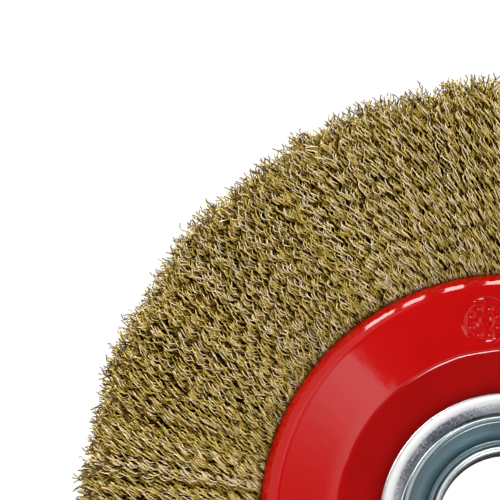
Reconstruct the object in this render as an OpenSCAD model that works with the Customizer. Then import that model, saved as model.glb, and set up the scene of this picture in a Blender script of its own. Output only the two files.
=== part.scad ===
// Crimped wire wheel for a bench grinder.
// The wheel turns about the Y axis. The origin is the middle of the bore, the front faces -Y and +Z is up.
// Every revolved section is drawn as (radius, height), where height is measured outwards from the
// wheel's middle plane, so that one section serves the front and the rear.

/* [Wire fill] */
// Radius over the trimmed wire tips
tip_r = 100; // [96:1:102]
// Width across the face at the tips
face_w = 25; // [24:0.5:27]
// Number of wire bundles laid round the wheel
bundle_count = 24; // [18:2:36]
// Angle left free between neighbouring bundles
bundle_gap_deg = 0.25; // [0.2:0.05:0.5]

/* [Core ring] */
// Radius of the ring that the wires are folded over
core_ring_r = 40; // [39:0.5:41]
// Diameter of the ring's own wire
core_wire_d = 4; // [3:0.5:4]

/* [Plates] */
// Outer radius of the pressed side plates
plate_r = 57; // [56.5:0.25:57.5]
// Thickness of the plate sheet
plate_t = 1.2; // [1:0.1:1.4]
// Height of the flat clamping face above the middle plane
plate_face_h = 11; // [10.5:0.25:11.5]
// Radius where the flat face breaks down into the dish
ridge_r = 39; // [38:0.25:39.5]
// Radius of the rounded shoulder at the rim
shoulder_r = 5; // [4.5:0.25:5]
// Height of the dish floor's outer surface
dish_h = 5; // [4.6:0.1:5.4]

/* [Hub sleeve] */
// Bore radius of the sleeve
sleeve_r = 25; // [25:0.1:25.2]
// Wall of the sleeve's tube
sleeve_t = 2; // [1.8:0.1:2]
// Radius of the rolled edge
roll_r = 2; // [1.8:0.1:2.1]
// Width of the flat top of the rolled edge
roll_flat_w = 0.4; // [0.2:0.1:0.8]

/* [Reducing adapters] */
// Radius of the arbor bore
bore_r = 16; // [15:0.5:16]
// Sheet thickness of an adapter
adapter_t = 1; // [0.8:0.1:1.1]
// Wall of the collar round the bore
collar_t = 1.5; // [1.3:0.1:1.6]
// Radial clearance between an adapter's locating band and the sleeve
adapter_gap = 0.3; // [0.2:0.05:0.4]
// How far the adapter's skirt is stepped in above its locating band
skirt_step = 0.6; // [0.4:0.1:0.7]

/* [Stamped roundel] */
// Outer radius of the stamped ring
roundel_r = 5.5; // [4.5:0.25:6]
// Depth of the stamping
roundel_depth = 0.3; // [0.2:0.05:0.4]

/* [Hidden] */
$fn = 180;
eps = 0.01;

function two_digits(n) = n < 10 ? str("0", n) : str(n);

BUNDLES = [for (i = [1:bundle_count]) str("wire_bundle_", two_digits(i))];

// Sleeve
sleeve_outer_r = sleeve_r + sleeve_t;
roll_h = dish_h + roll_r;
roll_inner_r = sleeve_r + roll_r;
roll_outer_r = roll_inner_r + roll_flat_w;

// Plates, drawn along the middle of the sheet
plate_hole_r = sleeve_outer_r + 0.05;
dish_foot_r = 29.4;
floor_mid_h = dish_h - plate_t / 2;
face_mid_h = plate_face_h - plate_t / 2;
shoulder_centre_r = plate_r - shoulder_r;
shoulder_centre_h = plate_face_h - shoulder_r;

// Adapters, drawn along the middle of the sheet
half_gap = 0.15;
band_mid_r = sleeve_r - adapter_gap - adapter_t / 2;
band_foot_h = half_gap + adapter_t / 2;
band_top_h = 2.4;
skirt_mid_r = band_mid_r - skirt_step;
skirt_foot_h = band_top_h + 1;
skirt_top_h = 6.6;
cone_top_r = skirt_mid_r - 0.9;
cone_foot_r = 19.2;
shelf_h = 2.8;
collar_mid_r = bore_r + collar_t / 2;
collar_top_h = 5.2;

// Wire fill
fold_r = 4.6;
fold_corner = 2;
core_slot_r = core_wire_d / 2 + 0.1;
neck_r = plate_r + 0.4;
neck_h = 5.2;
brim_r = plate_r + 0.8;
brim_h = 7.8;
bulge_r = plate_r + 3.5;
bulge_h = 9.6;
mid_r = 74;
mid_h = 11.3;
bundle_pitch_deg = 360 / bundle_count;

// Roundel, up and a little to the left of the bore
roundel_x = -5.3;
roundel_z = 45.4;
groove_w = 0.6;
dimple_r = 0.5;
dimple_count = 8;
dimple_ring_r = roundel_r * 0.6;

// Revolves a (radius, height) section about the Y axis
module revolved() {
    rotate([-90, 0, 0]) rotate_extrude() children();
}

// Turns a part that is drawn at the rear round to the front
module at_front() {
    mirror([0, 1, 0]) children();
}

// One straight stretch of bent sheet, between two points of its middle line
module stretch(a, b, t) {
    run = b - a;
    translate(a) rotate(atan2(run[1], run[0])) translate([0, -t / 2]) square([norm(run), t]);
}

// Bent sheet of thickness t along a middle line, with rounded bends and edges
module bent_sheet(points, t) {
    for (i = [0:len(points) - 2]) stretch(points[i], points[i + 1], t);
    for (p = points) translate(p) circle(d = t, $fn = 48);
}

// Quarter ring that rounds a sheet over at its rim
module quarter_ring(centre, r, t) {
    translate(centre) intersection() {
        difference() {
            circle(r = r);
            circle(r = r - t);
        }
        square(r + 1);
    }
}

module plate_section() {
    square_floor_r = plate_hole_r + plate_t / 2;
    bent_sheet([
        [square_floor_r, floor_mid_h],
        [dish_foot_r, floor_mid_h],
        [ridge_r, face_mid_h],
        [shoulder_centre_r, face_mid_h]
    ], plate_t);
    quarter_ring([shoulder_centre_r, shoulder_centre_h], shoulder_r, plate_t);
}

module plate() {
    revolved() plate_section();
}

// Generic stamped mark: a ring, a ring of dimples and a centre dimple
module roundel_cutter() {
    sink = roundel_depth + eps;
    translate([roundel_x, -plate_face_h - eps, roundel_z]) rotate([-90, 0, 0]) {
        difference() {
            cylinder(r = roundel_r, h = sink);
            translate([0, 0, -eps]) cylinder(r = roundel_r - groove_w, h = sink + 2 * eps);
        }
        cylinder(r = dimple_r * 2, h = sink);
        for (i = [0:dimple_count - 1]) {
            rotate(i * 360 / dimple_count) translate([dimple_ring_r, 0, 0]) cylinder(r = dimple_r, h = sink);
        }
    }
}

module front_plate() {
    color("crimson") difference() {
        at_front() plate();
        roundel_cutter();
    }
}

module rear_plate() {
    color("crimson") plate();
}

// Half of the sleeve's section: tube wall and the edge rolled out over the plate
module sleeve_half_section() {
    translate([sleeve_r, 0]) square([sleeve_t, roll_h]);
    translate([roll_inner_r, roll_h]) circle(r = roll_r, $fn = 96);
    translate([roll_outer_r, roll_h]) circle(r = roll_r, $fn = 96);
    translate([roll_inner_r, roll_h - roll_r]) square([roll_flat_w, 2 * roll_r]);
}

module hub_sleeve() {
    color("silver") revolved() {
        sleeve_half_section();
        mirror([0, 1]) sleeve_half_section();
    }
}

module core_ring() {
    color("dimgray") revolved() translate([core_ring_r, 0]) circle(d = core_wire_d, $fn = 96);
}

// Dished ring: locating band and skirt in the sleeve, cone, shelf and a collar round the bore
module adapter_section() {
    bent_sheet([
        [band_mid_r, band_foot_h],
        [band_mid_r, band_top_h],
        [skirt_mid_r, skirt_foot_h],
        [skirt_mid_r, skirt_top_h],
        [cone_top_r, skirt_top_h],
        [cone_foot_r, shelf_h],
        [collar_mid_r, shelf_h]
    ], adapter_t);
    translate([bore_r, half_gap]) square([collar_t, collar_top_h - half_gap]);
    translate([collar_mid_r, collar_top_h]) circle(d = collar_t, $fn = 48);
}

module rear_adapter() {
    color("lightsteelblue") revolved() adapter_section();
}

module front_adapter() {
    color("lightsteelblue") at_front() revolved() adapter_section();
}

// Section of the packed wires: folded over the core ring, pinched by the plates, spreading to the tips
module fill_section() {
    tip_h = face_w / 2;
    upper = [
        [core_ring_r - fold_r, fold_r - fold_corner],
        [core_ring_r - fold_r + fold_corner, fold_r],
        [neck_r, neck_h],
        [brim_r, brim_h],
        [bulge_r, bulge_h],
        [mid_r, mid_h],
        [tip_r, tip_h]
    ];
    lower = [for (i = [len(upper) - 1:-1:0]) [upper[i][0], -upper[i][1]]];
    difference() {
        polygon(concat(upper, lower));
        translate([core_ring_r, 0]) circle(r = core_slot_r, $fn = 96);
    }
}

// One bundle, counted clockwise from the top as seen from the front
module wire_bundle(index) {
    span = bundle_pitch_deg - bundle_gap_deg;
    middle = 90 - (index - 1) * bundle_pitch_deg;
    color("darkgoldenrod")
        rotate([0, span / 2 - middle, 0]) rotate([-90, 0, 0]) mirror([0, 1, 0])
            rotate_extrude(angle = span) fill_section();
}

front_plate();
rear_plate();
hub_sleeve();
core_ring();
front_adapter();
rear_adapter();
for (i = [1:bundle_count]) wire_bundle(i);
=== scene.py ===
import math
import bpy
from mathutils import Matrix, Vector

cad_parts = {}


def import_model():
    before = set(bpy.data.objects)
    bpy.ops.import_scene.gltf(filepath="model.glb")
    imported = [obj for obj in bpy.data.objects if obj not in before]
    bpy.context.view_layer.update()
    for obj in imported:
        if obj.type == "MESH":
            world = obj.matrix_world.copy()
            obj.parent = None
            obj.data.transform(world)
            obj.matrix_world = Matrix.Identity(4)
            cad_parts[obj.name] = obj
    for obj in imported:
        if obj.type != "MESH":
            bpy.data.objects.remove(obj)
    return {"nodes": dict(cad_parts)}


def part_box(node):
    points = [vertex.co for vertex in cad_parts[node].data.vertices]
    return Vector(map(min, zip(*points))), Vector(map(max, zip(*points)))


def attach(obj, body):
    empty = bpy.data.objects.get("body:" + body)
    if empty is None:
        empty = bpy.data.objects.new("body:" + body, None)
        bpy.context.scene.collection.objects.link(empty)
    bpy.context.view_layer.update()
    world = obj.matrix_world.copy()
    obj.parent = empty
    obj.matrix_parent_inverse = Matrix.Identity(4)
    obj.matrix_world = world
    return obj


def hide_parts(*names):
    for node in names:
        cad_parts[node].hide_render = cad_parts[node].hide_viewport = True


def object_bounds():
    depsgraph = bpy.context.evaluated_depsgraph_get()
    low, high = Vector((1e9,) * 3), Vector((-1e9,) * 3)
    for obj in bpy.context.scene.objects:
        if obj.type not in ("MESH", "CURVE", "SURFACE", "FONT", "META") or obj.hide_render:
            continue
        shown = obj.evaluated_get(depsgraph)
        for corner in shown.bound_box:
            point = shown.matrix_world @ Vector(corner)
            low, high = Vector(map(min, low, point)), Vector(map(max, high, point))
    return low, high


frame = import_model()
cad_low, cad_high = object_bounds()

from types import SimpleNamespace

import bmesh
import bpy
import numpy as np
from mathutils import Quaternion, Vector

# A crimped wire wheel. Its axis is Y, its front faces -Y and the origin is the middle of the bore.
# Sections are drawn in millimetres as (radius, height), with height measured outwards from the middle
# plane. Materials, lights and the camera are in metres.

MM = 0.001
TAU = 2 * math.pi
SEED = 7131

# ---------------------------------------------------------------- sizes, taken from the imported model


def radius_and_height(node):
    """A node's outer radius and how far it reaches from the middle plane, in mm."""
    low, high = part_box(node)
    return float(high[0]) / MM, max(abs(float(low[1])), abs(float(high[1]))) / MM


plate_r, plate_face_h = radius_and_height("front_plate")
roll_outer_r, roll_top_h = radius_and_height("hub_sleeve")
adapter_outer_r, adapter_top_h = radius_and_height("front_adapter")
tip_r = float(cad_high[0]) / MM
tip_half_w = float(cad_high[1]) / MM

BUNDLES = sorted(name for name in frame["nodes"] if name.startswith("wire_bundle_"))

# ---------------------------------------------------------------- mesh helpers


def new_mesh(name, vertices, faces_flat, face_sizes, material_index=None, smooth=True):
    """A mesh object: vertices in mm, every face's corners in one list, and the number in each face."""
    mesh = bpy.data.meshes.new(name)
    mesh.vertices.add(len(vertices))
    mesh.vertices.foreach_set("co", (vertices * MM).astype(np.float32).ravel())
    mesh.loops.add(len(faces_flat))
    mesh.loops.foreach_set("vertex_index", faces_flat.astype(np.int32))
    mesh.polygons.add(len(face_sizes))
    starts = np.concatenate([[0], np.cumsum(face_sizes)[:-1]])
    mesh.polygons.foreach_set("loop_start", starts.astype(np.int32))
    mesh.polygons.foreach_set("use_smooth", np.full(len(face_sizes), smooth))
    if material_index is not None:
        mesh.polygons.foreach_set("material_index", material_index.astype(np.int32))
    mesh.update(calc_edges=True)
    mesh.validate()
    piece = bpy.data.objects.new(name, mesh)
    bpy.context.scene.collection.objects.link(piece)
    return piece


def rounded_path(points, radii, steps=8):
    """The line through points with each inner corner rounded to its radius."""
    path = [np.array(points[0], float)]
    for before, corner, after, radius in zip(points, points[1:], points[2:], radii):
        before, corner, after = (np.array(p, float) for p in (before, corner, after))
        u = (before - corner) / np.linalg.norm(before - corner)
        v = (after - corner) / np.linalg.norm(after - corner)
        half = math.acos(np.clip(u @ v, -1, 1)) / 2
        reach = radius / math.tan(half)
        centre = corner + (u + v) / np.linalg.norm(u + v) * radius / math.sin(half)
        start, end = corner + u * reach - centre, corner + v * reach - centre
        a = math.atan2(start[1], start[0])
        turn = math.atan2(end[1], end[0]) - a
        turn = (turn + math.pi) % TAU - math.pi
        for k in range(steps + 1):
            t = a + turn * k / steps
            path.append(centre + radius * np.array([math.cos(t), math.sin(t)]))
    path.append(np.array(points[-1], float))
    return np.array(path)


def refined(path, step):
    """The same line with points no further apart than step."""
    out = [path[0]]
    for a, b in zip(path, path[1:]):
        n = max(1, int(math.ceil(np.linalg.norm(b - a) / step)))
        out.extend(a + (b - a) * k / n for k in range(1, n + 1))
    return np.array(out)


def sheet_outline(path, thickness, end_steps=6):
    """Closed outline of bent sheet along a middle line, with rounded edges."""
    run = np.gradient(path, axis=0)
    run /= np.linalg.norm(run, axis=1)[:, None]
    side = np.stack([-run[:, 1], run[:, 0]], axis=1) * thickness / 2

    def end_cap(centre, first_side):
        a = math.atan2(first_side[1], first_side[0])
        angles = a - math.pi * np.arange(1, end_steps) / end_steps
        return centre + thickness / 2 * np.stack([np.cos(angles), np.sin(angles)], axis=1)

    return np.concatenate([
        path + side,
        end_cap(path[-1], side[-1]),
        (path - side)[::-1],
        end_cap(path[0], -side[0]),
    ])


def lathe(name, outline, angles, shape=None, front=True):
    """Turns a closed outline about Y. shape moves the points after turning, and front faces it to -Y."""
    n, m = len(angles), len(outline)
    radius = np.broadcast_to(outline[:, 0], (n, m)).copy()
    height = np.broadcast_to(outline[:, 1], (n, m)).copy()
    angle = np.broadcast_to(np.asarray(angles)[:, None], (n, m))
    if shape is not None:
        radius, height = shape(radius, height, angle)
    sign = -1.0 if front else 1.0
    vertices = np.stack([radius * np.cos(angle), sign * height, radius * np.sin(angle)], axis=2)
    i, j = np.meshgrid(np.arange(n), np.arange(m), indexing="ij")
    i2, j2 = (i + 1) % n, (j + 1) % m
    corners = [i * m + j, i * m + j2, i2 * m + j2, i2 * m + j]
    if not front:
        corners = corners[::-1]
    quads = np.stack(corners, axis=2).reshape(-1, 4)
    piece = new_mesh(name, vertices.reshape(-1, 3), quads.ravel(), np.full(len(quads), 4))
    outward(piece)
    return piece


def outward(piece):
    """Turns the faces outwards, so that the mesh encloses a positive volume."""
    mesh = piece.data
    b = bmesh.new()
    b.from_mesh(mesh)
    if b.calc_volume(signed=True) < 0:
        bmesh.ops.reverse_faces(b, faces=b.faces)
        b.to_mesh(mesh)
    b.free()


def even_angles(count):
    """Angles in even steps round a full turn."""
    return np.arange(count) * TAU / count


def ripple(angle, seed, orders, size):
    """A smooth wander round the wheel: a sum of a few seeded waves."""
    rng = np.random.default_rng(seed)
    out = np.zeros_like(angle)
    for order in orders:
        out = out + rng.uniform(-1, 1) * np.sin(order * angle + rng.uniform(0, TAU))
    return size * out / math.sqrt(len(orders))


# ---------------------------------------------------------------- materials


def material(name):
    """A new material: itself, its nodes, its links and its shader."""
    mat = bpy.data.materials.new(name)
    mat.use_nodes = True
    nodes = mat.node_tree.nodes
    nodes.clear()
    shader = nodes.new("ShaderNodeBsdfPrincipled")
    out = nodes.new("ShaderNodeOutputMaterial")
    mat.node_tree.links.new(shader.outputs[0], out.inputs["Surface"])
    return mat, nodes, mat.node_tree.links, shader


def node(nodes, kind, **settings):
    """A new node. Each setting goes to the input of that name, or else to the property."""
    made = nodes.new(kind)
    for key, value in settings.items():
        if key in made.inputs:
            made.inputs[key].default_value = value
        else:
            setattr(made, key, value)
    return made


def ramp(nodes, stops):
    """A colour ramp with the given (position, colour) stops."""
    made = nodes.new("ShaderNodeValToRGB")
    elements = made.color_ramp.elements
    for _ in range(len(stops) - 2):
        elements.new(0.5)
    for element, (place, colour) in zip(elements, stops):
        element.position = place
        element.color = (*colour, 1)
    return made


def grey(value):
    return (value, value, value)


def polar_coordinates(nodes, links):
    """Sockets for the place, its distance from the axis, its angle round the axis and its Y."""
    place = nodes.new("ShaderNodeTexCoord")
    split = nodes.new("ShaderNodeSeparateXYZ")
    links.new(place.outputs["Object"], split.inputs[0])
    flat = nodes.new("ShaderNodeCombineXYZ")
    links.new(split.outputs["X"], flat.inputs["X"])
    links.new(split.outputs["Z"], flat.inputs["Y"])
    length = node(nodes, "ShaderNodeVectorMath", operation="LENGTH")
    links.new(flat.outputs[0], length.inputs[0])
    angle = node(nodes, "ShaderNodeMath", operation="ARCTAN2")
    links.new(split.outputs["Z"], angle.inputs[0])
    links.new(split.outputs["X"], angle.inputs[1])
    return place.outputs["Object"], length.outputs["Value"], angle.outputs[0], split.outputs["Y"]


def map_range(nodes, links, value, source, target=(0.0, 1.0)):
    """A socket that carries value from the source range to the target range."""
    made = nodes.new("ShaderNodeMapRange")
    made.inputs["From Min"].default_value = source[0]
    made.inputs["From Max"].default_value = source[1]
    made.inputs["To Min"].default_value = target[0]
    made.inputs["To Max"].default_value = target[1]
    links.new(value, made.inputs["Value"])
    return made.outputs[0]


def times(nodes, links, value, factor):
    """A socket for value times factor, which is a number or another socket."""
    made = node(nodes, "ShaderNodeMath", operation="MULTIPLY")
    links.new(value, made.inputs[0])
    if isinstance(factor, bpy.types.NodeSocket):
        links.new(factor, made.inputs[1])
    else:
        made.inputs[1].default_value = factor
    return made.outputs[0]


def bumped(nodes, links, shader, height, strength, distance):
    """Raises the surface by height: strength is a share, and distance is in metres."""
    bump = node(nodes, "ShaderNodeBump", Strength=strength, Distance=distance)
    links.new(height, bump.inputs["Height"])
    links.new(bump.outputs[0], shader.inputs["Normal"])


# Height of a dust speck in the enamel, against one unit of orange peel
SPECK_HEIGHT = 1.2


def enamel():
    """Glossy red enamel: faint mottling, orange peel, a few dust specks, and painted shade that darkens
    the dish below the ridge.
    """
    mat, nodes, links, shader = material("red_enamel")
    place, radius, _, _ = polar_coordinates(nodes, links)
    mottle = node(nodes, "ShaderNodeTexNoise", Scale=60.0, Detail=4.0)
    links.new(place, mottle.inputs["Vector"])
    tint = ramp(nodes, [(0.3, (0.40, 0.0008, 0.0007)), (0.7, (0.45, 0.0014, 0.0012))])
    links.new(mottle.outputs["Fac"], tint.inputs["Fac"])
    # Painted shade: inside the ridge the dish is darkened to 0.82 of the enamel's colour
    across_ridge = ((RIDGE_R - 1.5) * MM, (RIDGE_R + 1.5) * MM)
    dish_painted_shade = map_range(nodes, links, radius, across_ridge, (0.82, 1.0))
    depth = node(nodes, "ShaderNodeVectorMath", operation="SCALE")
    links.new(tint.outputs["Color"], depth.inputs[0])
    links.new(dish_painted_shade, depth.inputs["Scale"])
    links.new(depth.outputs["Vector"], shader.inputs["Base Color"])
    peel = node(nodes, "ShaderNodeTexNoise", Scale=420.0, Detail=1.0)
    specks = node(nodes, "ShaderNodeTexVoronoi", Scale=130.0)
    links.new(place, peel.inputs["Vector"])
    links.new(place, specks.inputs["Vector"])
    dust = ramp(nodes, [(0.0, grey(1.0)), (0.09, grey(0.0))])
    links.new(specks.outputs["Distance"], dust.inputs["Fac"])
    height = node(nodes, "ShaderNodeMath", operation="MULTIPLY_ADD")
    height.inputs[1].default_value = SPECK_HEIGHT
    links.new(dust.outputs["Color"], height.inputs[0])
    links.new(peel.outputs["Fac"], height.inputs[2])
    bumped(nodes, links, shader, height.outputs[0], strength=0.012, distance=0.0004)
    smear = ramp(nodes, [(0.35, grey(0.035)), (0.75, grey(0.06))])
    links.new(mottle.outputs["Fac"], smear.inputs["Fac"])
    links.new(smear.outputs["Color"], shader.inputs["Roughness"])
    return mat


# Where the sleeve's stretch marks and the painted shade on the roll's inner half begin and where they
# are at their full spread (mm from the axis)
MARKS_AND_SHADE_FROM_R = 26.55
MARKS_AND_SHADE_TO_R = 27.5


def bright_zinc():
    """Bright zinc plating on the sleeve, with stretch marks where the edge was rolled over, and painted
    shade that darkens the roll's inner half towards the bore.
    """
    mat, nodes, links, shader = material("bright_zinc")
    place, radius, angle, _ = polar_coordinates(nodes, links)
    streak_place = nodes.new("ShaderNodeCombineXYZ")
    links.new(times(nodes, links, angle, 22.0), streak_place.inputs["X"])
    links.new(times(nodes, links, radius, 900.0), streak_place.inputs["Y"])
    streaks = node(nodes, "ShaderNodeTexNoise", Scale=2.2, Detail=8.0, Roughness=0.8, Distortion=0.8)
    links.new(streak_place.outputs[0], streaks.inputs["Vector"])
    patches = node(nodes, "ShaderNodeTexNoise", Scale=55.0, Detail=2.0)
    links.new(place, patches.inputs["Vector"])
    patch_depth = map_range(nodes, links, patches.outputs["Fac"], (0.3, 0.7), (0.8, 1.4))
    rolled = (MARKS_AND_SHADE_FROM_R * MM, MARKS_AND_SHADE_TO_R * MM)
    # Painted shade: towards the bore the marks weigh more and turn the plating dull and dark, so the
    # roll's inner half reads as shaded
    inner = map_range(nodes, links, radius, rolled, (1.0, 0.16))
    marks = times(nodes, links, streaks.outputs["Fac"], times(nodes, links, patch_depth, inner))
    bright, dull, dark = (0.97, 0.98, 0.98), (0.46, 0.47, 0.51), (0.08, 0.09, 0.12)
    tint = ramp(nodes, [(0.12, bright), (0.42, dull), (0.60, dark)])
    links.new(marks, tint.inputs["Fac"])
    links.new(tint.outputs["Color"], shader.inputs["Base Color"])
    rough = ramp(nodes, [(0.1, grey(0.36)), (0.6, grey(0.5))])
    links.new(marks, rough.inputs["Fac"])
    links.new(rough.outputs["Color"], shader.inputs["Roughness"])
    bumped(nodes, links, shader, marks, strength=0.7, distance=0.0002)
    shader.inputs["Metallic"].default_value = 0.55
    return mat


# Colour of the adapter's plating by distance from the axis (m), with painted light: painted shade at the
# bore's edge, a painted highlight on the lip, painted reflections as light and dark rings on the shelf
# and the step, the cone, painted shade at the skirt's edge, and the skirt
ADAPTER_TINT_AND_PAINTED_LIGHT = [
    (0.0160, (0.05, 0.06, 0.07)),
    (0.01605, (0.45, 0.48, 0.50)),
    (0.0163, (1.0, 1.0, 1.0)),
    (0.0170, (1.0, 1.0, 1.0)),
    (0.0174, (0.50, 0.62, 0.66)),
    (0.0178, (0.20, 0.29, 0.31)),
    (0.0182, (0.62, 0.78, 0.82)),
    (0.0192, (0.07, 0.12, 0.14)),
    (0.0198, (0.13, 0.22, 0.26)),
    (0.0214, (0.24, 0.36, 0.42)),
    (0.0226, (0.24, 0.36, 0.40)),
    (0.0232, (0.12, 0.17, 0.19)),
    (0.0236, (0.55, 0.66, 0.68)),
    (0.0242, (0.55, 0.66, 0.68)),
]


def turned_zinc():
    """Blue-white zinc over turned steel, with fine concentric tool marks, and rings of painted
    highlight, reflection and shade.
    """
    mat, nodes, links, shader = material("turned_zinc")
    _, radius, angle, along = polar_coordinates(nodes, links)
    ring = node(nodes, "ShaderNodeMath", operation="ADD")
    links.new(radius, ring.inputs[0])
    links.new(along, ring.inputs[1])
    turning = node(nodes, "ShaderNodeCombineXYZ")
    links.new(ring.outputs[0], turning.inputs["X"])
    links.new(times(nodes, links, angle, 0.00035), turning.inputs["Y"])
    marks = node(nodes, "ShaderNodeTexNoise", Scale=1500.0, Detail=4.0, Roughness=0.6)
    links.new(turning.outputs[0], marks.inputs["Vector"])
    tint = ramp(nodes, [(0.38, grey(0.50)), (0.5, grey(0.85)), (0.6, grey(1.0))])
    links.new(marks.outputs["Fac"], tint.inputs["Fac"])
    first, last = ADAPTER_TINT_AND_PAINTED_LIGHT[0][0], ADAPTER_TINT_AND_PAINTED_LIGHT[-1][0]
    # Painted highlight, reflection and shade, ring by ring, times the tint of the tool marks
    bands = ramp(nodes, [((at - first) / (last - first), colour) for at, colour in ADAPTER_TINT_AND_PAINTED_LIGHT])
    links.new(map_range(nodes, links, radius, (first, last)), bands.inputs["Fac"])
    painted_light_tone = node(nodes, "ShaderNodeVectorMath", operation="MULTIPLY")
    links.new(tint.outputs["Color"], painted_light_tone.inputs[0])
    links.new(bands.outputs["Color"], painted_light_tone.inputs[1])
    links.new(painted_light_tone.outputs["Vector"], shader.inputs["Base Color"])
    rough = ramp(nodes, [(0.3, grey(0.34)), (0.7, grey(0.18))])
    links.new(marks.outputs["Fac"], rough.inputs["Fac"])
    links.new(rough.outputs["Color"], shader.inputs["Roughness"])
    bumped(nodes, links, shader, marks.outputs["Fac"], strength=0.3, distance=0.0001)
    shader.inputs["Metallic"].default_value = 0.6
    return mat


def drawn_steel():
    """Plain drawn steel of the hidden core ring."""
    mat, nodes, links, shader = material("drawn_steel")
    place = nodes.new("ShaderNodeTexCoord")
    grain = node(nodes, "ShaderNodeTexNoise", Scale=900.0, Detail=3.0)
    links.new(place.outputs["Object"], grain.inputs["Vector"])
    tint = ramp(nodes, [(0.3, grey(0.22)), (0.7, grey(0.4))])
    links.new(grain.outputs["Fac"], tint.inputs["Fac"])
    links.new(tint.outputs["Color"], shader.inputs["Base Color"])
    shader.inputs["Metallic"].default_value = 1.0
    shader.inputs["Roughness"].default_value = 0.4
    return mat


# Tones of the brass-coated wire: name, colour, roughness, metallic and share of the wires
# The darker tones also serve as painted shade for the inner layers and for crimps that dive
WIRE_TONES = [
    ("wire_cream", (0.99, 0.80, 0.50), 0.30, 0.45, 0.22),
    ("wire_straw", (0.86, 0.65, 0.19), 0.34, 0.50, 0.20),
    ("wire_brass", (0.62, 0.45, 0.08), 0.38, 0.60, 0.18),
    ("wire_olive", (0.40, 0.29, 0.03), 0.40, 0.75, 0.16),
    ("wire_bronze", (0.20, 0.095, 0.012), 0.42, 0.90, 0.12),
    ("wire_umber", (0.055, 0.019, 0.001), 0.45, 1.00, 0.12),
]
WIRE_TIP = ("wire_cut_end", (0.26, 0.19, 0.07), 0.45, 0.9)


def wire_material(name, colour, roughness, metallic):
    """One plain tone of the wire's coating."""
    mat, _, _, shader = material(name)
    shader.inputs["Base Color"].default_value = (*colour, 1)
    shader.inputs["Roughness"].default_value = roughness
    shader.inputs["Metallic"].default_value = metallic
    return mat


# ---------------------------------------------------------------- plates, sleeve and adapters

SHEET_T = 1.2
SHOULDER_R = 5.0
DISH_FLOOR_H = 5.0
DISH_FOOT_R = 29.4
RIDGE_R = 39.0
# The flat face falls away slightly towards the rim, and its inner edge is rolled off towards the ridge
FACE_FALL = 0.052
ROLL_OFF = 0.10
ROLL_OFF_W = 3.5

SLEEVE_R = 25.0
SLEEVE_OUTER_R = 27.0
ROLL_R = 2.0
PLATE_HOLE_R = SLEEVE_OUTER_R + 0.05


def plate_outline():
    """Pressed sheet from the sleeve over the dish, the ridge and the flat face to the rounded rim."""
    mid = SHEET_T / 2
    face_mid = plate_face_h - mid
    bend_centre = (plate_r - SHOULDER_R, plate_face_h - SHOULDER_R)
    arc_r = SHOULDER_R - mid
    line = rounded_path(
        [
            (PLATE_HOLE_R + mid, DISH_FLOOR_H - mid),
            (DISH_FOOT_R, DISH_FLOOR_H - mid),
            (RIDGE_R, face_mid),
            (bend_centre[0], face_mid),
        ],
        radii=[0.75, 1.5],
        steps=10,
    )
    line = refined(line, 0.35)
    turn = np.linspace(0, math.pi / 2, 22)[1:]
    arc = np.array(bend_centre) + arc_r * np.stack([np.sin(turn), np.cos(turn)], axis=1)
    return sheet_outline(np.concatenate([line, arc]), SHEET_T)


ROUNDEL_AT = (-5.3, 45.4)
ROUNDEL_R = 5.4
ROUNDEL_DEPTH = 0.3
ROUNDEL_MARGIN = 7.0
DIMPLES = 8
DIMPLE_R = 0.5


def roundel_depth(x, z):
    """Depth of the stamped mark: an outer and an inner groove with a ring of dimples between them."""
    dx, dz = x - ROUNDEL_AT[0], z - ROUNDEL_AT[1]
    away = np.hypot(dx, dz)
    groove = np.exp(-(((away - 0.9 * ROUNDEL_R) / 0.38) ** 2))
    inner = np.exp(-(((away - 0.30 * ROUNDEL_R) / 0.34) ** 2))
    dimples = np.zeros_like(away)
    for k in range(DIMPLES):
        a = TAU * (k + 0.5) / DIMPLES
        spot = np.hypot(dx - 0.6 * ROUNDEL_R * math.cos(a), dz - 0.6 * ROUNDEL_R * math.sin(a))
        dimples = np.maximum(dimples, np.exp(-((spot / DIMPLE_R) ** 2)))
    return ROUNDEL_DEPTH * np.maximum(np.maximum(groove, 0.8 * inner), 0.9 * dimples)


def plate_shape(seed, stamped):
    """Waviness of pressed sheet, and the stamped roundel on the front plate."""

    def shape(radius, height, angle):
        face = np.clip((radius - RIDGE_R + 3) / 4, 0, 1)
        wave = ripple(angle, seed, (2, 3, 5), 0.03) + ripple(angle, seed + 1, (9, 14, 23), 0.005)
        height = height + wave * face
        height = height - FACE_FALL * np.clip(radius - RIDGE_R, 0, plate_r - SHOULDER_R - RIDGE_R)
        rolled = np.clip((RIDGE_R + ROLL_OFF_W - radius) / ROLL_OFF_W, 0, 1) ** 2
        height = height - ROLL_OFF * rolled * face
        near_ridge = np.exp(-(((radius - RIDGE_R) / 2.5) ** 2))
        radius = radius + near_ridge * ripple(angle, seed + 2, (11, 19, 31, 47), 0.10)
        if stamped:
            height = height - roundel_depth(radius * np.cos(angle), radius * np.sin(angle))
        return radius, height

    return shape


def plate_angles():
    """Even steps round the plate, with close ones where the roundel is stamped."""
    middle = math.atan2(ROUNDEL_AT[1], ROUNDEL_AT[0])
    spread = ROUNDEL_MARGIN / math.hypot(*ROUNDEL_AT)
    close = np.linspace(middle - spread, middle + spread, 84)
    rest = np.linspace(middle + spread, middle - spread + TAU, 330)[1:-1]
    return np.concatenate([close, rest])


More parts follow.
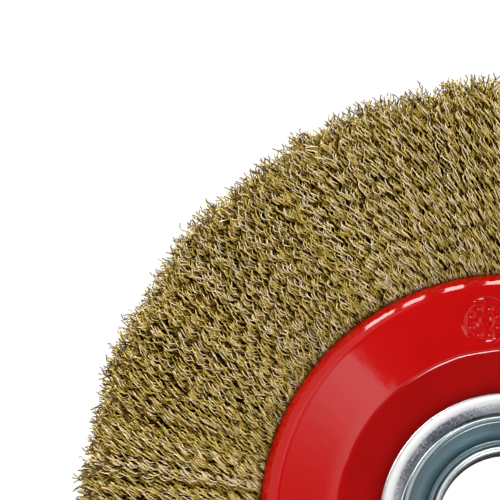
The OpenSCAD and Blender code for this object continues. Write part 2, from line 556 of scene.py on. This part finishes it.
def sleeve_outline():
    """Closed outline of the tube with both its edges rolled outwards."""
    roll_h = roll_top_h - ROLL_R
    inner_centre_r = SLEEVE_R + ROLL_R
    outer_centre_r = roll_outer_r - ROLL_R
    upper = []
    for t in np.linspace(math.pi, math.pi / 2, 14):
        upper.append((inner_centre_r + ROLL_R * math.cos(t), roll_h + ROLL_R * math.sin(t)))
    for t in np.linspace(math.pi / 2, -math.pi / 2, 28):
        upper.append((outer_centre_r + ROLL_R * math.cos(t), roll_h + ROLL_R * math.sin(t)))
    upper.append((SLEEVE_OUTER_R, roll_h - ROLL_R))
    upper = np.array(upper)
    lower = upper[::-1] * np.array([1, -1])
    return np.concatenate([upper, lower])


ADAPTER_T = 1.0
BORE_R = 16.0
COLLAR_T = 1.5
COLLAR_TOP_H = 5.2
SHELF_H = 2.8
HALF_GAP = 0.15
BAND_TOP_H = 2.4
SKIRT_FOOT_H = 3.4
SKIRT_STEP = 0.25
CONE_IN = 0.95
CONE_FOOT_R = 19.2
COLLAR_BEVEL = 0.2


def adapter_outline():
    """Outline of the dished sheet: locating band, stepped skirt, cone and shelf, up to the collar."""
    t = ADAPTER_T / 2
    band = adapter_outer_r - t
    skirt = band - SKIRT_STEP
    collar_r = BORE_R + COLLAR_T
    line = rounded_path(
        [
            (band, HALF_GAP + t),
            (band, BAND_TOP_H),
            (skirt, SKIRT_FOOT_H),
            (skirt, adapter_top_h - t),
            (skirt - CONE_IN, adapter_top_h - t),
            (CONE_FOOT_R, SHELF_H),
            (collar_r, SHELF_H),
        ],
        radii=[0.5, 0.5, 0.46, 0.46, 0.9],
        steps=7,
    )
    sheet = sheet_outline(line, ADAPTER_T)
    return np.array([point for point in sheet if point[0] > collar_r - 0.01])


def adapter_collar():
    """Closed outline of the collar round the bore, with a rolled top."""
    mid, r = BORE_R + COLLAR_T / 2, COLLAR_T / 2
    foot_h = HALF_GAP + COLLAR_BEVEL
    points = [(BORE_R + COLLAR_T, foot_h), (BORE_R + COLLAR_T, COLLAR_TOP_H)]
    for t in np.linspace(0, math.pi, 16)[1:]:
        points.append((mid + r * math.cos(t), COLLAR_TOP_H + r * math.sin(t)))
    points.append((BORE_R, foot_h))
    points.append((BORE_R + COLLAR_BEVEL, HALF_GAP))
    points.append((BORE_R + COLLAR_T - COLLAR_BEVEL, HALF_GAP))
    return np.array(points)


def build_plates(paint):
    """The front plate, which is stamped, and the plain rear one."""
    for name, front in (("front_plate", True), ("rear_plate", False)):
        shape = plate_shape(SEED + 10 * front, stamped=front)
        angles = plate_angles() if front else even_angles(360)
        piece = lathe(name + "_pressing", plate_outline(), angles, shape, front)
        finish_piece(piece, "wheel", [paint], "red_enamel", name)
        piece.visible_glossy = False


def build_sleeve(zinc):
    """The hub sleeve with both its rolled edges."""

    def shape(radius, height, angle):
        """Leaves the bore round and lets the rolled edge wander a little."""
        out = np.clip((radius - SLEEVE_R - 1) / 3, 0, 1)
        return radius + out * ripple(angle, SEED + 40, (5, 8, 13, 21), 0.05), height

    piece = lathe("hub_sleeve_rolled", sleeve_outline(), even_angles(360), shape, front=True)
    finish_piece(piece, "wheel", [zinc], "zinc_plate", "hub_sleeve")
    piece.visible_glossy = False


def build_adapters(zinc):
    """Each adapter is a dished sheet and a collar, and both slide as one."""
    for side, front in (("front", True), ("rear", False)):
        dish = lathe(side + "_adapter_dish", adapter_outline(), even_angles(300), None, front)
        collar = lathe(side + "_adapter_collar", adapter_collar(), even_angles(300), None, front)
        for piece in (dish, collar):
            finish_piece(piece, side + "_adapter", [zinc], "adapter_zinc", side + "_adapter")


def finish_piece(piece, body, materials, slot, *nodes):
    """Gives a piece its materials and its body, and hides the nodes that it stands for. slot is not
    used.
    """
    for mat in materials:
        piece.data.materials.append(mat)
    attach(piece, body)
    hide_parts(*nodes)


# ---------------------------------------------------------------- crimped wires

WIRE_R = 0.135
TUBE_SIDES = 3
ROOT_R = 42.5
NECK_R = 55.5

# The crimp: its length, its depth in the wheel's face, and how many times deeper it goes out of the face
CRIMP_PITCH = 4.2
CRIMP_DEPTH = 0.55
CRIMP_OUT_OF_FACE = 1.5

# Neighbouring wires lie in clumps. They are CLUMP_SPACING apart at the radius CLUMP_R
CLUMP_SIZE = 2
CLUMP_SPACING = 0.60
CLUMP_R = 78.0

# The direction in the wheel's face that the crests are combed towards, which also sets the slant that
# the painted shade of diving crimps falls on, and how loosely they are
COMB_AND_SHADE_DIRECTION = math.radians(134)
COMB_SPREAD = 0.35

# Painted shade: where a crimp dives below this share of its depth, the wire is some tones darker
DIVE_LEVEL = -0.15
DIVE_SHADE = 3

# The tips: rows of tufts with notches between them, a trim that isn't quite round, and how deep from the
# tips the inner wires drop their painted shade
TUFTS = 92
TUFT_PROUD = 0.9
TUFT_NOTCH = 3.4
TUFT_GATHER = 0.65
GATHER_FROM = 0.86
TUFT_ROWS = 5
TUFT_ROW_SHIFT = 0.37
UNEVEN_TRIM_AT = math.radians(80)
UNEVEN_TRIM = 2.0
TRIM_OFF = 1.2
RIM_DEPTH = 7.0

# Bent tips: share of the wires, where along the wire the bend starts, its size, and how much it shortens
HOOKED = (0.22, 0.94, 2.2)
HOOK_SHORTENS = 0.5
CURLED = (0.03, 0.80, 6.0)
CURL_SHORTENS = 0.35

# How far wires may stand past the fill's face, and half the gap that the plates leave them
FACE_PROUD = 0.8
PINCH_H = 4.8

# Wires with this many points along a crimp lie at a face, where they show
FACE_POINTS = 5

# The wires of one bundle, from the two faces inwards: how many, how deep they lie as a share of the half
# thickness, the points along one crimp, the tones they take from light (0) to dark (1), and how far they
# lean (radians)
# Painted shade: the deeper layers take the darkest tones, standing in for the shade inside the fill
LAYERS = [
    (180, (0.00, 0.05), 6, (0.00, 0.52), 0.040),
    (190, (0.04, 0.14), 5, (0.20, 0.92), 0.030),
    (160, (0.14, 0.40), 3, (0.80, 1.00), 0.015),
    (180, (0.40, 1.00), 2, (0.90, 1.00), 0.015),
]


def half_width(r):
    """Half of the fill's thickness at a radius."""
    radii = [ROOT_R, NECK_R, plate_r + 0.6, plate_r + 3.5, 74.0, tip_r]
    widths = [3.2, 4.7, 8.0, 9.8, 11.5, tip_half_w - 0.3]
    return np.interp(r, radii, widths)


def tuft_centres():
    """Angles of the tufts' centres, unevenly spaced."""
    rng = np.random.default_rng(SEED + 60)
    return (np.arange(TUFTS) + rng.uniform(-0.35, 0.35, TUFTS)) * TAU / TUFTS


def to_nearest_tuft(theta, depth_share):
    """Signed angle from each wire to its tuft's centre. Each row of tufts is turned against the next."""
    row = np.floor((depth_share + 1) * TUFT_ROWS / 2)
    turned = theta + row * TUFT_ROW_SHIFT
    centres = tuft_centres()
    gap = (turned[:, None] - centres[None, :] + math.pi) % TAU - math.pi
    return gap[np.arange(len(theta)), np.abs(gap).argmin(axis=1)]


def waves(rng, t, longest, size, count=3):
    """A smooth random wander along each wire, zero at its start."""
    rows = len(t)
    out = np.zeros_like(t)
    for k in range(1, count + 1):
        height = rng.normal(0, size / k ** 0.6, (rows, 1))
        out += height * np.sin(TAU * k * t / longest + rng.uniform(0, TAU, (rows, 1)))
    return out - out[:, :1]


def near_tip(t, start):
    """Rises from 0 at start, a share of the wire's length, to 1 at the tip."""
    return np.clip((t - start) / (1 - start), 0, 1)


def tip_bends(rng, t, share, start, size):
    """Sideways bend of a share of the wires towards their tips."""
    bent = rng.random(len(t)) < share
    return near_tip(t, start) ** 2 * (bent * rng.uniform(-size, size, len(t)))[:, None]


def clump_settings(index, rng, count, depths, lean_size):
    """What the wires of each clump share."""
    pitch = TAU / len(BUNDLES)
    middle = math.pi / 2 - index * pitch
    places = (np.arange(count) + rng.uniform(0, 1, count)) / count
    angle = middle + (places - 0.5) * pitch
    side = np.where(np.arange(count) % 2 == 0, -1.0, 1.0)
    share = side * (1 - rng.uniform(*depths, count))
    lean = rng.normal(0, lean_size, count) + ripple(angle, SEED + 62, (5, 9, 14), 0.01)
    phase = rng.uniform(0, TAU, count)
    combed = np.sin(2 * (COMB_AND_SHADE_DIRECTION - angle)) + rng.normal(0, COMB_SPREAD, count)
    return SimpleNamespace(
        angle=angle,
        side=side,
        share=share,
        lean=lean,
        phase=phase,
        shift=np.arccos(np.clip(combed, -1, 1)),
        tone=rng.normal(0, 0.3, count),
        pitch=rng.uniform(0.78, 1.25, count),
        depth=rng.uniform(0.65, 1.25, count),
    )


def wire_settings(rng, clumps):
    """The same for the single wires, each a little off what its clump has."""
    of_clump = np.repeat(np.arange(len(clumps.angle)), CLUMP_SIZE)
    count = len(of_clump)
    beside = np.tile(np.arange(CLUMP_SIZE) - (CLUMP_SIZE - 1) / 2, len(clumps.angle)) * CLUMP_SPACING
    return SimpleNamespace(
        angle=clumps.angle[of_clump] + (beside + rng.normal(0, 0.1, count)) / CLUMP_R,
        share=np.clip(clumps.share[of_clump] + rng.normal(0, 0.012, count), -1, 1),
        lean=clumps.lean[of_clump] + rng.normal(0, 0.03, count),
        phase=clumps.phase[of_clump] + rng.normal(0, 0.5, count),
        depth=CRIMP_DEPTH * clumps.depth[of_clump] * rng.uniform(0.85, 1.15, count),
        pitch=CRIMP_PITCH * clumps.pitch[of_clump] * rng.uniform(0.97, 1.03, count),
        side=clumps.side[of_clump],
        shift=clumps.shift[of_clump],
        tone=clumps.tone[of_clump],
    )


def tip_radius(rng, angle, to_tuft):
    """Radius of each wire's tip."""
    off_centre = np.clip(np.abs(to_tuft) / (TAU / TUFTS / 2), 0, 1)
    trim = UNEVEN_TRIM * np.cos(2 * (angle - UNEVEN_TRIM_AT)) - TRIM_OFF
    reach = tip_r + trim + TUFT_PROUD - TUFT_NOTCH * off_centre ** 1.5 + rng.normal(0, 0.7, len(angle))
    return reach + ripple(angle, SEED + 61, (17, 29, 43), 0.8)


def tone_index(order):
    """The wire tone at a place from light (0) to dark (1)."""
    limits = np.cumsum([tone[-1] for tone in WIRE_TONES])
    return np.searchsorted(limits, order * limits[-1])


def bundle_wires(index, rng, wanted, depths, points_per_crimp, tone_range, lean_size):
    """Centre lines of one layer's wires as (wires, points, 3) in mm, and the tone of each stretch."""
    clumps = clump_settings(index, rng, wanted // CLUMP_SIZE, depths, lean_size)
    wires = wire_settings(rng, clumps)
    count = len(wires.angle)
    to_tuft = to_nearest_tuft(wires.angle, wires.share)
    reach = tip_radius(rng, wires.angle, to_tuft)

    stretches = int(round((tip_r - NECK_R) / CRIMP_PITCH * points_per_crimp))
    t = np.linspace(0, 1, stretches + 1)
    r = NECK_R + (reach[:, None] - NECK_R) * t
    run = r - NECK_R

    # across is measured round the wheel, and along is measured along its axis
    across = run * np.tan(wires.lean)[:, None] + waves(rng, run, longest=30.0, size=0.22)
    shared = waves(rng, run[::CLUMP_SIZE], longest=17.0, size=0.25)
    along = np.repeat(shared, CLUMP_SIZE, axis=0) + waves(rng, run, longest=20.0, size=0.12)
    turn = TAU * run / wires.pitch[:, None] + wires.phase[:, None]
    swing = wires.depth[:, None] * np.clip(run / 2.0, 0, 1)
    proud = np.cos(turn - wires.shift[:, None])
    across = across + swing * np.sin(turn)
    along = along + CRIMP_OUT_OF_FACE * swing * proud * wires.side[:, None]

    gather = near_tip(t, GATHER_FROM) ** 1.5
    across = across - TUFT_GATHER * gather * (to_tuft * tip_r)[:, None]
    hook = tip_bends(rng, np.broadcast_to(t, r.shape), *HOOKED)
    curl = tip_bends(rng, np.broadcast_to(t, r.shape), *CURLED)
    across = across + hook + curl
    r = r - HOOK_SHORTENS * np.abs(hook) - CURL_SHORTENS * np.abs(curl)

    y = wires.share[:, None] * half_width(r) + along
    y = np.clip(y, -tip_half_w - FACE_PROUD, tip_half_w + FACE_PROUD)
    inside = np.clip(plate_r - r, 0, 1)
    y = y * (1 - inside) + inside * np.clip(y, -PINCH_H, PINCH_H)
    angle = wires.angle[:, None] + across / np.maximum(r, 1)

    tones = stretch_tones(rng, wires, proud, tone_range)
    # Near the tips the inner wires drop their painted shade and take lighter tones, where the rim shows
    # them
    if points_per_crimp < FACE_POINTS:
        painted_light_tone = tone_index(rng.uniform(0.2, 0.95, count))
        tones = np.where(r > tip_r - RIM_DEPTH, np.minimum(tones, painted_light_tone[:, None]), tones)

    r = np.concatenate([np.full((count, 1), ROOT_R), r], axis=1)
    y = np.concatenate([(wires.share * half_width(ROOT_R))[:, None], y], axis=1)
    angle = np.concatenate([wires.angle[:, None], angle], axis=1)
    return np.stack([r * np.cos(angle), y, r * np.sin(angle)], axis=2), tones


def stretch_tones(rng, wires, proud, tone_range):
    """Tone of each stretch of each wire: its own in general, and darker with painted shade where the
    crimp dives.
    """
    dives = (proud[:, 1:] + proud[:, :-1]) / 2 < DIVE_LEVEL
    dives = np.concatenate([dives[:, :1], dives], axis=1)
    count = len(wires.tone)
    place = np.argsort(np.argsort(wires.tone + rng.normal(0, 0.8, count))) / count
    tones = tone_index(tone_range[0] + (tone_range[1] - tone_range[0]) * place)
    return np.minimum(tones[:, None] + DIVE_SHADE * dives, len(WIRE_TONES) - 1)


def tubes(lines, radius, sides):
    """Vertices, side faces and the two end faces of closed tubes along the lines."""
    wires, points, _ = lines.shape
    run = np.gradient(lines, axis=1)
    run /= np.linalg.norm(run, axis=2, keepdims=True)
    axis = np.zeros_like(run)
    axis[..., 1] = 1
    first = axis - (axis * run).sum(axis=2, keepdims=True) * run
    first /= np.linalg.norm(first, axis=2, keepdims=True)
    second = np.cross(run, first)
    rings = []
    for k in range(sides):
        a = TAU * k / sides
        rings.append(lines + radius * (math.cos(a) * first + math.sin(a) * second))
    vertices = np.stack(rings, axis=2)

    w, p, s = np.meshgrid(np.arange(wires), np.arange(points - 1), np.arange(sides), indexing="ij")
    base = (w * points + p) * sides
    s2 = (s + 1) % sides
    quads = np.stack([base + s, base + s2, base + sides + s2, base + sides + s], axis=3)
    first_ring = np.arange(wires)[:, None] * points * sides + np.arange(sides)[::-1]
    last_ring = (np.arange(wires)[:, None] * points + points - 1) * sides + np.arange(sides)
    return vertices.reshape(-1, 3), quads.reshape(wires, -1, 4), first_ring, last_ring


def build_bundle(index, name, materials):
    """One bundle of wires as a single mesh, with each stretch in its tone and dark cut ends."""
    rng = np.random.default_rng(SEED + 100 + index)
    tip_index = len(WIRE_TONES)
    vertices, corners, sizes, tone = [], [], [], []
    count = 0
    for wanted, depths, points_per_crimp, tone_range, lean_size in LAYERS:
        lines, tones = bundle_wires(index, rng, wanted, depths, points_per_crimp, tone_range, lean_size)
        points, quads, first_ring, last_ring = tubes(lines, WIRE_R, TUBE_SIDES)
        wires, per_wire, _ = quads.shape
        tone_of_quad = np.repeat(tones, per_wire // tones.shape[1], axis=1)
        if points_per_crimp >= FACE_POINTS:
            tone_of_quad[:, -TUBE_SIDES:] = tip_index
        vertices.append(points)
        corners.extend(part.reshape(-1) + count for part in (quads, first_ring, last_ring))
        sizes.extend([np.full(wires * per_wire, 4), np.full(2 * wires, TUBE_SIDES)])
        tone.extend([tone_of_quad.reshape(-1), tones[:, 0], np.full(wires, tip_index)])
        count += len(points)
    piece = new_mesh(
        name + "_wires",
        np.concatenate(vertices),
        np.concatenate(corners),
        np.concatenate(sizes),
        np.concatenate(tone),
    )
    finish_piece(piece, "wheel", materials, "wire", name)


def build_wires():
    """All the bundles. Their materials are the wire tones in order, and then the cut end's."""
    tones = [wire_material(*tone[:-1]) for tone in WIRE_TONES]
    tones.append(wire_material(*WIRE_TIP))
    for index, name in enumerate(BUNDLES):
        build_bundle(index, name, tones)


# ---------------------------------------------------------------- floor, light and camera

FLOOR_R = 1200
FLOOR_SIDES = 96
FLOOR_GAP = 4.2


def floor():
    """A plain pale disc just below the lowest wire tips."""
    mat, _, _, shader = material("pale_floor")
    shader.inputs["Base Color"].default_value = (0.85, 0.85, 0.84, 1)
    shader.inputs["Roughness"].default_value = 0.9
    angles = even_angles(FLOOR_SIDES)
    level = np.full(FLOOR_SIDES, -(tip_r + FLOOR_GAP))
    ring = np.stack([FLOOR_R * np.cos(angles), FLOOR_R * np.sin(angles), level], axis=1)
    piece = new_mesh("floor", ring, np.arange(FLOOR_SIDES), np.array([FLOOR_SIDES]), smooth=False)
    piece.data.materials.append(mat)
    piece.visible_glossy = False
    piece.visible_shadow = False


# How far the slanted cards are turned about their facing
SLANT = math.radians(135)


def soft_light(name, place, size, power, target=(0, 0, 0), roll=0.0, diffuse=True, glossy=True):
    """A rectangular light that faces its target and that the camera doesn't see."""
    data = bpy.data.lights.new(name, "AREA")
    data.shape = "RECTANGLE"
    data.size, data.size_y = size
    data.energy = power
    lamp = bpy.data.objects.new(name, data)
    bpy.context.scene.collection.objects.link(lamp)
    lamp.location = place
    facing = (Vector(target) - Vector(place)).to_track_quat("-Z", "Y")
    lamp.rotation_euler = (facing @ Quaternion((0, 0, 1), roll)).to_euler()
    lamp.visible_camera = False
    lamp.visible_diffuse = diffuse
    lamp.visible_glossy = glossy


def strip_light(name, place, size, radiance, **settings):
    """A soft light set by its radiance, so that its size doesn't change how bright it looks."""
    soft_light(name, place, size, radiance * math.pi * size[0] * size[1], **settings)


def world():
    """White behind the object, and a soft grey all round for the light it gives."""
    made = bpy.data.worlds.new("studio")
    bpy.context.scene.world = made
    made.use_nodes = True
    nodes, links = made.node_tree.nodes, made.node_tree.links
    nodes.clear()
    out = nodes.new("ShaderNodeOutputWorld")
    mix = nodes.new("ShaderNodeMixShader")
    seen = node(nodes, "ShaderNodeBackground", Color=(1, 1, 1, 1), Strength=1.05)
    given = node(nodes, "ShaderNodeBackground", Color=(1, 1, 1, 1), Strength=0.09)
    path = nodes.new("ShaderNodeLightPath")
    links.new(path.outputs["Is Camera Ray"], mix.inputs["Fac"])
    links.new(given.outputs[0], mix.inputs[1])
    links.new(seen.outputs[0], mix.inputs[2])
    links.new(mix.outputs[0], out.inputs["Surface"])


def lights():
    """Soft lights all round, and the cards that the metal and the enamel mirror."""
    soft_light("key_right", (0.95, -1.25, 0.80), (0.5, 0.5), 4.2)
    soft_light("fill_above", (-0.45, -1.2, 1.3), (0.6, 0.6), 9, glossy=False)
    for x, wide in ((-0.54, 0.15), (-0.36, 0.09), (-0.18, 0.08), (-0.01, 0.09)):
        strip_light("overhead", (x, -0.25, 1.0), (0.9, wide), radiance=12, target=(0, -0.25, 0))
    strip_light("card_low", (0.30, -1.25, -0.70), (0.45, 0.25), radiance=20, diffuse=False)
    strip_light("card_near", (0.12, -1.5, -0.02), (0.17, 0.17), radiance=1.5, diffuse=False)
    soft_light("side_right", (1.3, -0.75, 0.0), (0.5, 0.5), 3.0, glossy=False)
    soft_light("edge_right", (1.5, 0.3, 0.6), (0.7, 0.7), 11)
    soft_light("back_left", (-0.9, 1.4, 1.0), (0.8, 0.8), 18)
    strip_light("wall_left", (-1.2, -1.0, 0.6), (1.8, 1.8), radiance=0.55)
    strip_light("card_far", (-0.70, -1.5, 0.57), (0.6, 0.43), radiance=0.35, roll=SLANT, diffuse=False)
    card_left()


# The card to the left of the camera, in strips that fade away from its slanted upper edge
CARD_EDGE = 0.127
CARD_STRIP = 0.023
CARD_STRIPS = 10
CARD_LENGTH = 0.5
CARD_AT = 0.35
CARD_FADE = 0.09


def card_left():
    """A card made of slanted strips, brightest at its edge."""
    slant = math.sqrt(0.5)
    for k in range(CARD_STRIPS):
        away = (k + 0.5) * CARD_STRIP
        radiance = 0.15 + 1.75 * math.exp(-((away / CARD_FADE) ** 2))
        middle = CARD_EDGE - away
        place = (slant * (middle - CARD_AT), -1.5, slant * (middle + CARD_AT))
        strip_light("card_left", place, (CARD_LENGTH, CARD_STRIP), radiance, roll=SLANT)


CAMERA_AT = (-0.045, -1.5, -0.1155)
CAMERA_AIM = (-0.05876, -0.011, 0.06175)
CAMERA_LENS = 474.3


def camera():
    """A long lens that looks at the wheel's upper left quarter."""
    data = bpy.data.cameras.new("camera")
    data.lens = CAMERA_LENS
    data.sensor_width = 36
    data.clip_start, data.clip_end = 0.1, 20
    cam = bpy.data.objects.new("camera", data)
    bpy.context.scene.collection.objects.link(cam)
    cam.location = CAMERA_AT
    cam.rotation_euler = (Vector(CAMERA_AIM) - Vector(CAMERA_AT)).to_track_quat("-Z", "Y").to_euler()
    bpy.context.scene.camera = cam
    bpy.context.scene.view_settings.view_transform = "Standard"


# ---------------------------------------------------------------- the wheel

camera()
world()
lights()
floor()
build_plates(enamel())
build_sleeve(bright_zinc())
build_adapters(turned_zinc())
build_wires()
core = frame["nodes"]["core_ring"]
core.data.materials.clear()
core.data.materials.append(drawn_steel())
